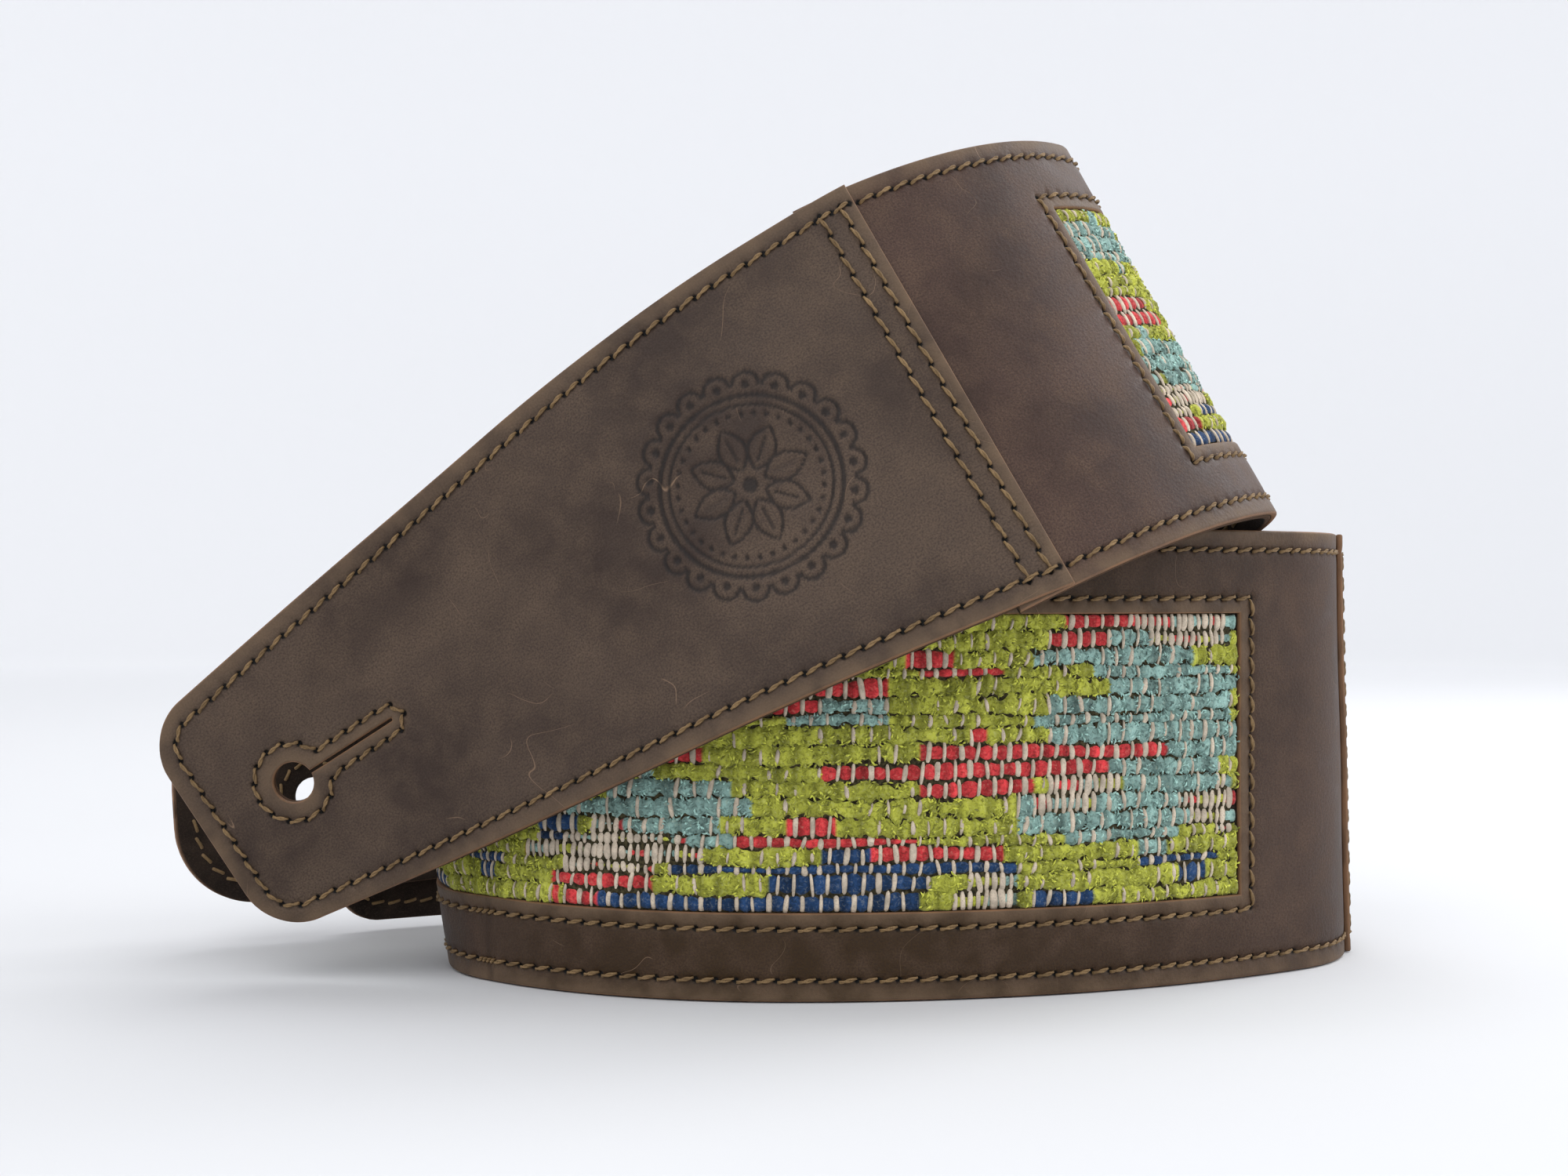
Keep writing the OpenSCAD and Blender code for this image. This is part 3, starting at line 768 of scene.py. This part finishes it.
def row_bounds(us, rng):
    """The slightly wavy lines between the rows of the weave."""
    tops = np.cumsum(WEFT) * (2 * WIN_HALF / sum(WEFT)) - WIN_HALF
    bounds = np.concatenate(([-WIN_HALF], tops))[:, None] + 0 * us
    for i in range(1, len(WEFT)):
        slow = 0.32 * np.sin(us / rng.uniform(9, 16) + rng.uniform(0, 6))
        bounds[i] += slow + 0.2 * np.sin(us / 3.7 + 2 * i)
    return bounds


def nearest(us, places):
    """The step along a yarn at each place."""
    return np.searchsorted(us, places).clip(0, len(us) - 1)


def weave():
    """The yarns of each row, the pile on them and the cream warp ticks that tie them down."""
    rng = np.random.default_rng(7)
    us = np.arange(WIN_LEFT + 0.3, WIN_RIGHT - 0.3, STATION)
    bounds = row_bounds(us, rng)
    half = np.diff(bounds, axis=0) / 2
    middles = bounds[:-1] + half
    yarns, ticks, pile = {0: [], 1: []}, [], []
    for row in range(len(WEFT)):
        jitter = rng.uniform(-5, 5)
        block = np.round((us - WIN_LEFT) / WARP / 2) * WARP * 2 + WIN_LEFT
        kind = np.array([dye_at(u, w, jitter) for u, w in zip(block, middles[row])])
        warps = np.arange(WIN_LEFT + WARP * (1 + row % 2), WIN_RIGHT - 1, 2 * WARP)
        warps += rng.normal(0, 0.16, len(warps))
        close = warps[:-1] + WARP
        bare = kind[nearest(us, close)] == BARE
        warps = np.sort(np.concatenate((warps, close[bare])))
        under = kind[nearest(us, warps)]
        shown = rng.random(len(warps)) < TICK_SHOWN[under]
        near = np.abs(us[:, None] - warps).min(1)
        pinch = np.exp(-(near / PINCH_REACH) ** 2) * PINCH[kind]
        bulk, tall = (smooth(v[kind], 2) for v in (BULK, PILE_H))
        across = half[row] * bulk * (1 - 0.6 * pinch)
        up = tall * (1 - pinch)
        lump = 1 + smooth(rng.normal(0, 1, (len(us), len(AROUND)))) * ROUGH[kind][:, None] * 1.6
        flat = np.stack((
            us[:, None] + 0 * lump, middles[row][:, None] + across[:, None] * np.cos(AROUND) * lump,
            GROUND + up[:, None] * np.maximum(np.sin(AROUND) * lump, 0)), -1)
        # Each step along the yarn made darker or lighter: painted light and shade of the lumps, partly random
        # tone of the dye
        shade = smooth(rng.uniform(0.3, 1.65, len(us)))[:, None]
        flecks = DYES[rng.integers(0, 3, len(us) // FLECK + 1)][np.arange(len(us)) // FLECK]
        colour = np.where((kind == BARE)[:, None], flecks, DYES[kind])
        yarns[row % 2].append((flat, colour * shade))
        at = nearest(us, warps[shown])
        ticks.append(np.stack((
            warps[shown], middles[row][at], half[row][at], up[at] + GROUND, under[shown]), -1))
        soft = np.nonzero(kind < CORAL)[0]
        spots = rng.choice(soft, int(len(soft) * STATION * half[row].mean() * 2 * PILE_PER_MM2))
        pile.append(np.stack((us[spots], middles[row][spots], across[spots], up[spots], kind[spots]), -1))
    objects = [yarn_object(f"woven_panel_yarns_{i}", yarns[i]) for i in yarns]
    return objects, pile_tufts(rng, np.concatenate(pile)), warp_ticks(rng, np.concatenate(ticks))


def yarn_object(name, rows):
    """Closed yarns, each one ring of points per station."""
    count, sides = rows[0][0].shape[:2]
    ring = np.arange(count - 1)[:, None] * sides
    k = np.arange(sides)
    after = (k + 1) % sides
    walls = np.stack((ring + k, ring + sides + k, ring + sides + after, ring + after), -1).reshape(-1, 4)
    caps = np.array([(m, m + 1, sides - 2 - m, sides - 1 - m) for m in range(sides // 2 - 1)])
    faces = np.concatenate((walls, caps, caps[:, ::-1] + (count - 1) * sides))
    flat = np.concatenate([points.reshape(-1, 3) for points, _ in rows])
    flat[:, 1] = np.clip(flat[:, 1], -WIN_HALF + 0.05, WIN_HALF - 0.05)
    obj = lay_object(name, flat, np.concatenate([faces + i * count * sides for i in range(len(rows))]))
    dye = np.concatenate([np.repeat(colour, sides, axis=0) for _, colour in rows])
    paint(obj, "dye", np.column_stack((dye, np.ones(len(dye)))), "FLOAT_COLOR")
    return obj


def pile_tufts(rng, spots):
    """Short curled fibres that stand on the soft yarns, each a small spindle of three rings."""
    u, w, across, up, kind = spots.T
    count = len(spots)
    angle = rng.uniform(0.35, math.pi - 0.35, count)
    centre = np.stack((
        u + rng.uniform(-STATION, STATION, count), w + across * np.cos(angle),
        up * np.sin(angle) + GROUND + 0.02), -1)
    centre[:, 1] = np.clip(centre[:, 1], -WIN_HALF + 0.5, WIN_HALF - 0.5)
    turn = rng.uniform(0, math.pi, count)
    reach = rng.uniform(0.4, 0.75, count)[:, None]
    way = np.stack((np.cos(turn), np.sin(turn), rng.uniform(-0.3, 0.3, count)), -1)
    side = np.stack((-np.sin(turn), np.cos(turn), 0 * turn), -1)
    wide = rng.uniform(0.16, 0.27, count)[:, None]
    rise = np.array((0, 0, 1.0))
    rings = []
    for share, thick, lift in ((-1, 0.25, -0.1), (0, 1, 0.2), (1, 0.25, -0.1)):
        middle_point = centre + way * reach * share + rise * lift
        rings += [
            middle_point + side * wide * thick, middle_point + rise * FIBRE_HALF * thick,
            middle_point - side * wide * thick, middle_point - rise * FIBRE_HALF * thick]
    flat = np.stack(rings, 1)
    quads = [(0, 1, 2, 3), (11, 10, 9, 8)]
    for ring in (0, 4):
        quads += [(ring + k, ring + 4 + k, ring + 4 + (k + 1) % 4, ring + (k + 1) % 4) for k in range(4)]
    base = np.arange(count)[:, None, None] * 12
    # Each fibre made darker or lighter: painted light and shade, partly random tone of the dye
    shade = DYES[kind.astype(int)] * rng.uniform(0.5, 2.1, count)[:, None]
    colour = np.repeat(np.column_stack((shade, np.ones(count))), 12, axis=0).reshape(count, 12, 4)
    objects = []
    for i, part in enumerate(np.array_split(np.arange(count), 2)):
        faces = (base[:len(part)] + np.array(quads)).reshape(-1, 4)
        obj = lay_object(f"woven_panel_pile_{i}", flat[part].reshape(-1, 3), faces)
        paint(obj, "dye", colour[part].reshape(-1, 4), "FLOAT_COLOR")
        objects.append(obj)
    return objects


def warp_ticks(rng, places):
    """The short stretches of warp that show over the yarns, bent down into the cloth at both ends."""
    u, w, half, top, kind = (column[:, None] for column in places.T)
    kind = kind.astype(int)
    count = len(places)
    t = np.linspace(-1, 1, 7)
    reach = (half * 2 * TICK_L[kind]) * rng.uniform(0.85, 1.1, (count, 1))
    reach = np.maximum(reach, 1.2)
    across = np.clip(w + reach * t + rng.normal(0, 0.12, (count, 1)), -WIN_HALF + 0.1, WIN_HALF - 0.1)
    along = u + rng.normal(0.08, 0.2, (count, 1)) * t
    n = top + 0.12 - 0.75 * np.abs(t) ** 2.4
    size = TICK_W[kind] * rng.uniform(0.6, 1.3, (count, 1)) * np.sqrt(1 - 0.85 * t * t)
    flat, quads = tubes(np.stack((along, across, n), -1), size, 0.26, 6)
    return lay_object("woven_panel_ticks", flat, quads)


def window_distance(u, w):
    """In from the edge of the window."""
    return np.minimum(WIN_HALF - np.abs(w), np.minimum(u - WIN_LEFT, WIN_RIGHT - u))


yarns, pile, ticks = weave()
ground_cells = plain_grid(np.arange(WIN_LEFT, WIN_RIGHT + 0.1, 2.5), np.linspace(-WIN_HALF, WIN_HALF, 24))
woven_panel = make_sheet("woven_panel", ground_cells, -LEATHER, -LEATHER + 0.5, window_distance)

# ---- materials


class Nodes:
    """Short calls for a material's node tree."""

    def __init__(self, name):
        self.material = bpy.data.materials.new(name)
        self.material.use_nodes = True
        self.tree = self.material.node_tree
        self.shader = self.tree.nodes["Principled BSDF"]

    def add(self, kind, inputs=None, **settings):
        node = self.tree.nodes.new(kind)
        for key, value in settings.items():
            setattr(node, key, value)
        for key, value in (inputs or {}).items():
            self.set(node.inputs[key], value)
        return node

    def set(self, socket, value):
        if isinstance(value, bpy.types.NodeSocket):
            self.tree.links.new(value, socket)
        else:
            socket.default_value = value

    def value(self, name):
        return self.add("ShaderNodeAttribute", attribute_name=name).outputs["Fac"]

    def vector(self, name):
        return self.add("ShaderNodeAttribute", attribute_name=name).outputs["Vector"]

    def noise(self, vector, scale, detail=3.0, distortion=0.0):
        node = self.add("ShaderNodeTexNoise", {
            "Vector": vector, "Scale": scale, "Detail": detail, "Distortion": distortion})
        return node.outputs["Fac"]

    def math(self, operation, a, b=0.0):
        node = self.add("ShaderNodeMath", {0: a, 1: b}, operation=operation)
        return node.outputs[0]

    def step(self, value, low, high, start=0.0, stop=1.0):
        node = self.add("ShaderNodeMapRange", {
            "Value": value, "From Min": low, "From Max": high, "To Min": start, "To Max": stop})
        return node.outputs["Result"]

    def mix(self, factor, a, b):
        node = self.add("ShaderNodeMix", data_type="RGBA")
        for key, value in ((0, factor), (6, a), (7, b)):
            self.set(node.inputs[key], value)
        return node.outputs[2]

    def bump(self, height, distance, strength):
        node = self.add("ShaderNodeBump", {"Height": height, "Distance": distance, "Strength": strength})
        return node.outputs["Normal"]

    def finish(self, **sockets):
        for key, value in sockets.items():
            self.set(self.shader.inputs[key.replace("_", " ")], value)
        return self.material


def rgb(r, g, b):
    return (r, g, b, 1.0)


# The raw cut edge starts and is full at these distances in from the outline
CUT_EDGE = (0.32, 0.05)


def hairlines(k, flat, scale, half, seed):
    """Thin wandering scratches where a slow noise crosses its middle value, broken up."""
    moved = k.add("ShaderNodeVectorMath", {0: flat, 1: (seed, seed * 0.7, 0)}, operation="ADD").outputs[0]
    wander = k.noise(moved, scale, 1.5, 0.6)
    line = k.step(k.math("ABSOLUTE", k.math("SUBTRACT", wander, 0.5)), 0, half, 1, 0)
    patch = k.step(k.noise(moved, scale * 1.7, 1.0), 0.60, 0.66)
    return k.math("MULTIPLY", line, patch)


def grain_leather(name, dark, light, rubbed_to, olive_and_shade=0.0):
    """Oiled pull-up leather: mottled brown, lighter where rubbed, with fine grain and scratches; darker and
    more olive along the front of the band, partly its own tone and partly painted shade, and near black in
    the needle holes as painted shade.
    """
    k = Nodes(name)
    flat = k.vector("flat")
    mottle = k.noise(flat, 0.028, 4.0, 0.4)
    cloud = k.noise(flat, 0.14, 5.0, 0.2)
    fine = k.noise(flat, 2.6, 3.0)
    colour = k.mix(k.step(mottle, 0.38, 0.62), rgb(*dark), rgb(*light))
    # Darker and more olive along the front of the band: partly the hide's own tone, partly painted shade
    colour = k.mix(k.step(k.value("olive_and_shade"), 0, 1, 0, olive_and_shade), colour, rgb(0.042, 0.021, 0.0050))
    colour = k.mix(k.step(cloud, 0.42, 0.72, 0, 0.5), colour, rgb(*rubbed_to))
    colour = k.mix(k.step(fine, 0.35, 0.68, 0, 0.6), colour, rgb(*(c * 0.4 for c in dark)))
    edge = k.value("edge")
    rubbed = k.math("MULTIPLY", k.step(edge, 4.2, 0.6), k.step(cloud, 0.35, 0.6, 0.3, 0.75))
    colour = k.mix(rubbed, colour, rgb(0.150, 0.098, 0.058))
    raw = k.math("MULTIPLY", k.step(edge, *CUT_EDGE), k.step(cloud, 0.35, 0.65, 0.45, 0.95))
    colour = k.mix(raw, colour, rgb(0.27, 0.140, 0.072))
    long_lines = hairlines(k, flat, 0.022, 0.0011, 11)
    short_lines = hairlines(k, flat, 0.045, 0.0016, 47)
    scratch = k.math("MAXIMUM", long_lines, short_lines)
    colour = k.mix(k.math("MULTIPLY", scratch, 0.8), colour, rgb(0.25, 0.16, 0.10))
    colour = k.mix(k.math("MULTIPLY", k.value("tool"), 0.75), colour, rgb(0.012, 0.010, 0.010))
    # Painted shade: near black in and round the needle holes
    colour = k.mix(k.step(k.value("pit"), 0.2, 0.45), colour, rgb(0.002, 0.0015, 0.001))
    cells = k.add("ShaderNodeTexVoronoi", {"Vector": flat, "Scale": 1.35, "Randomness": 1.0})
    cell_height = k.math("MULTIPLY", cells.outputs["Distance"], 0.55)
    pores = k.noise(flat, 5.5, 2.0)
    height = k.math("ADD", cell_height, k.math("MULTIPLY", pores, 0.6))
    height = k.math("SUBTRACT", height, k.math("MULTIPLY", scratch, 0.5))
    return k.finish(
        Base_Color=colour, Roughness=k.step(cloud, 0.3, 0.7, 0.46, 0.62), Specular_IOR_Level=0.22,
        Normal=k.bump(height, 0.00018, 0.6))


def suede_leather():
    """The flesh side: matt and mottled, with a short nap, and very dark, partly its own colour and partly
    painted shade, as it lies in shade.
    """
    k = Nodes("suede_leather")
    flat = k.vector("flat")
    mottle = k.noise(flat, 0.12, 5.0, 0.5)
    nap = k.noise(flat, 3.2, 4.0, 0.3)
    # Partly painted shade: the flesh side is kept near black, as it lies in shade under the other layers
    colour = k.mix(k.step(mottle, 0.35, 0.68), rgb(0.016, 0.011, 0.009), rgb(0.040, 0.027, 0.020))
    colour = k.mix(k.step(nap, 0.5, 0.75, 0, 0.5), colour, rgb(0.070, 0.050, 0.036))
    raw = k.step(k.value("edge"), *CUT_EDGE)
    colour = k.mix(k.math("MULTIPLY", raw, 0.7), colour, rgb(0.11, 0.058, 0.030))
    return k.finish(
        Base_Color=colour, Roughness=0.95, Specular_IOR_Level=0.1, Sheen_Weight=0.05,
        Normal=k.bump(nap, 0.0003, 0.8))


def thread_finish():
    """Waxed golden brown thread, darker in the twist and here and there along the row."""
    k = Nodes("thread")
    flat = k.vector("flat")
    slow = k.noise(flat, 0.25, 3.0)
    fibre = k.noise(flat, 4.5, 3.0)
    colour = k.mix(k.step(slow, 0.3, 0.7), rgb(0.15, 0.092, 0.040), rgb(0.29, 0.185, 0.085))
    colour = k.mix(k.step(fibre, 0.48, 0.72, 0, 0.5), colour, rgb(0.050, 0.028, 0.010))
    return k.finish(
        Base_Color=colour, Roughness=0.6, Specular_IOR_Level=0.3, Normal=k.bump(fibre, 0.0002, 0.5))


def yarn_dye_and_painted_light():
    """Soft chenille pile in the colours of its dyed stretches, with painted shade where the pile noise is low
    and a painted highlight where it is high, the same noise that gives its bumps.
    """
    k = Nodes("chenille")
    flat = k.vector("flat")
    dye = k.add("ShaderNodeAttribute", attribute_name="dye").outputs["Color"]
    pile_noise = k.noise(flat, 1.6, 4.0, 0.6)
    # Painted shade in the low pile
    dark = k.mix(k.step(pile_noise, 0.32, 0.5, 0.5, 0), dye, rgb(0.010, 0.014, 0.006))
    # Painted highlight on the high pile
    light = k.mix(k.step(pile_noise, 0.55, 0.78, 0, 0.25), dark, rgb(0.60, 0.60, 0.42))
    return k.finish(
        Base_Color=light, Roughness=0.95, Specular_IOR_Level=0.08, Sheen_Weight=0.12,
        Normal=k.bump(pile_noise, 0.0005, 0.8))


def warp_finish():
    """Cream cotton warp, with darker fibres here and there."""
    k = Nodes("warp")
    flat = k.vector("flat")
    fibre = k.noise(flat, 3.0, 3.0)
    slow = k.noise(flat, 0.4, 2.0)
    colour = k.mix(k.step(slow, 0.35, 0.65), rgb(*(c * 0.62 for c in CREAM)), rgb(*CREAM))
    colour = k.mix(k.step(fibre, 0.5, 0.75, 0, 0.6), colour, rgb(*(c * 0.35 for c in CREAM)))
    return k.finish(
        Base_Color=colour, Roughness=0.85, Specular_IOR_Level=0.2, Normal=k.bump(fibre, 0.0002, 0.5))


def ground_painted_shade():
    """What shows between the yarns: the woven ground, kept dark as painted shade deep between them."""
    k = Nodes("ground")
    speck = k.noise(k.vector("flat"), 1.4, 3.0)
    # Painted shade: the ground is near black where it shows between the yarns
    colour = k.mix(k.step(speck, 0.4, 0.65), rgb(0.016, 0.014, 0.008), rgb(0.07, 0.058, 0.03))
    return k.finish(Base_Color=colour, Roughness=0.95, Specular_IOR_Level=0.1)


def dress(pieces, material):
    """Gives pieces their material, and has them ride the strap's one body."""
    for piece in pieces:
        piece.data.materials.append(material)
        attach(piece, "root")


band_leather = grain_leather(
    "band_leather", (0.046, 0.024, 0.017), (0.086, 0.049, 0.036), (0.130, 0.080, 0.053), 1.0)
end_leather = grain_leather(
    "end_leather", (0.046, 0.028, 0.020), (0.098, 0.065, 0.045), (0.140, 0.095, 0.064))
dress([body_leather], band_leather)
dress([front_panel, rear_panel, tail_strap], end_leather)
dress(SUEDE, suede_leather())
dress(threads, thread_finish())
dress([*yarns, *pile], yarn_dye_and_painted_light())
dress([ticks], warp_finish())
dress([woven_panel], ground_painted_shade())

# ---- floor, light and camera

# Metres: radius of the flat floor, radius of the sweep up into the wall, heights on the wall
FLOOR_R = 2.4
SWEEP_R = 0.8
WALL = (2.2, 4.0)
SPOKES = 64
# Where the backdrop starts to glow, and over what distance it reaches its full glow
GLOW_FROM = 0.35
GLOW_OVER = 1.6
GLOW = 0.30
# The camera: focal length in mm, mm in front of the roll and above the floor, degrees from straight down
LENS = 49.1
CAMERA_AWAY = 400
CAMERA_HIGH = 76.7
CAMERA_TILT = 90.105
# What the lamps are turned to, in metres
AIM = (0, 0, 0.08)


def studio():
    """A pale floor that sweeps up into a round pale wall."""
    floor = np.linspace(0.02, FLOOR_R, 16)
    sweep = np.linspace(0.15, 1.57, 12)
    wall_r = [FLOOR_R + SWEEP_R] * len(WALL)
    r = np.concatenate((floor, FLOOR_R + SWEEP_R * np.sin(sweep), wall_r))
    z = np.concatenate((0 * floor, SWEEP_R * (1 - np.cos(sweep)), WALL))
    turns = np.linspace(0, 2 * math.pi, SPOKES, endpoint=False)
    points = np.stack((
        np.outer(r, np.cos(turns)), np.outer(r, np.sin(turns)), np.outer(z, np.ones(SPOKES))), -1)
    i, j = (g.ravel() for g in np.meshgrid(np.arange(len(r) - 1), np.arange(SPOKES), indexing="ij"))
    after = (j + 1) % SPOKES
    rings = np.stack((
        i * SPOKES + j, (i + 1) * SPOKES + j, (i + 1) * SPOKES + after, i * SPOKES + after), -1)
    middle_disc = np.array([(0, 2 * m, 2 * m + 1, 2 * m + 2) for m in range(1, SPOKES // 2 - 1)])
    obj = new_object("studio", points.reshape(-1, 3), np.concatenate((rings, middle_disc)))
    away = np.repeat(np.clip((r - GLOW_FROM) / GLOW_OVER, 0, 1), SPOKES)
    paint(obj, "away", away)
    k = Nodes("studio")
    glow = k.math("MULTIPLY", k.value("away"), GLOW)
    obj.data.materials.append(k.finish(
        Base_Color=rgb(0.70, 0.705, 0.72), Roughness=1.0, Specular_IOR_Level=0.0,
        Emission_Color=rgb(0.96, 0.97, 1.0), Emission_Strength=glow))


def softbox(name, place, size, watts):
    """A rectangular soft light turned to the strap."""
    light = bpy.data.lights.new(name, "AREA")
    light.shape = "RECTANGLE"
    light.size, light.size_y = size
    light.energy = watts
    obj = bpy.data.objects.new(name, light)
    bpy.context.scene.collection.objects.link(obj)
    obj.location = place
    way = np.array(place) - np.array(AIM)
    obj.rotation_euler = (
        math.atan2(math.hypot(way[0], way[1]), way[2]), 0, math.atan2(way[0], -way[1]))


def camera():
    """Level, 40 cm in front of the roll and about as high as the strap is wide."""
    data = bpy.data.cameras.new("camera")
    data.sensor_width = 36.0
    data.lens = LENS
    data.clip_start = 0.01
    data.clip_end = 50
    obj = bpy.data.objects.new("camera", data)
    bpy.context.scene.collection.objects.link(obj)
    obj.location = (-MIDDLE[0] * MM, (-CAMERA_AWAY - MIDDLE[1]) * MM, (CAMERA_HIGH + REST) * MM)
    obj.rotation_euler = (math.radians(CAMERA_TILT), 0, 0)
    bpy.context.scene.camera = obj


world = bpy.data.worlds.new("world")
world.use_nodes = True
background = world.node_tree.nodes["Background"]
background.inputs["Color"].default_value = rgb(0.95, 0.97, 1.0)
background.inputs["Strength"].default_value = 0.62
bpy.context.scene.world = world
studio()
softbox("key", (-0.5, -0.9, 1.1), (0.9, 0.9), 5.8)
softbox("side", (1.1, -0.2, 0.6), (0.5, 0.9), 4.5)
softbox("rim", (1.0, 0.7, 0.9), (0.5, 0.5), 5)
softbox("top", (0.2, 0.35, 1.2), (1.2, 0.8), 5.6)
camera()
bpy.context.scene.view_settings.view_transform = "Standard"
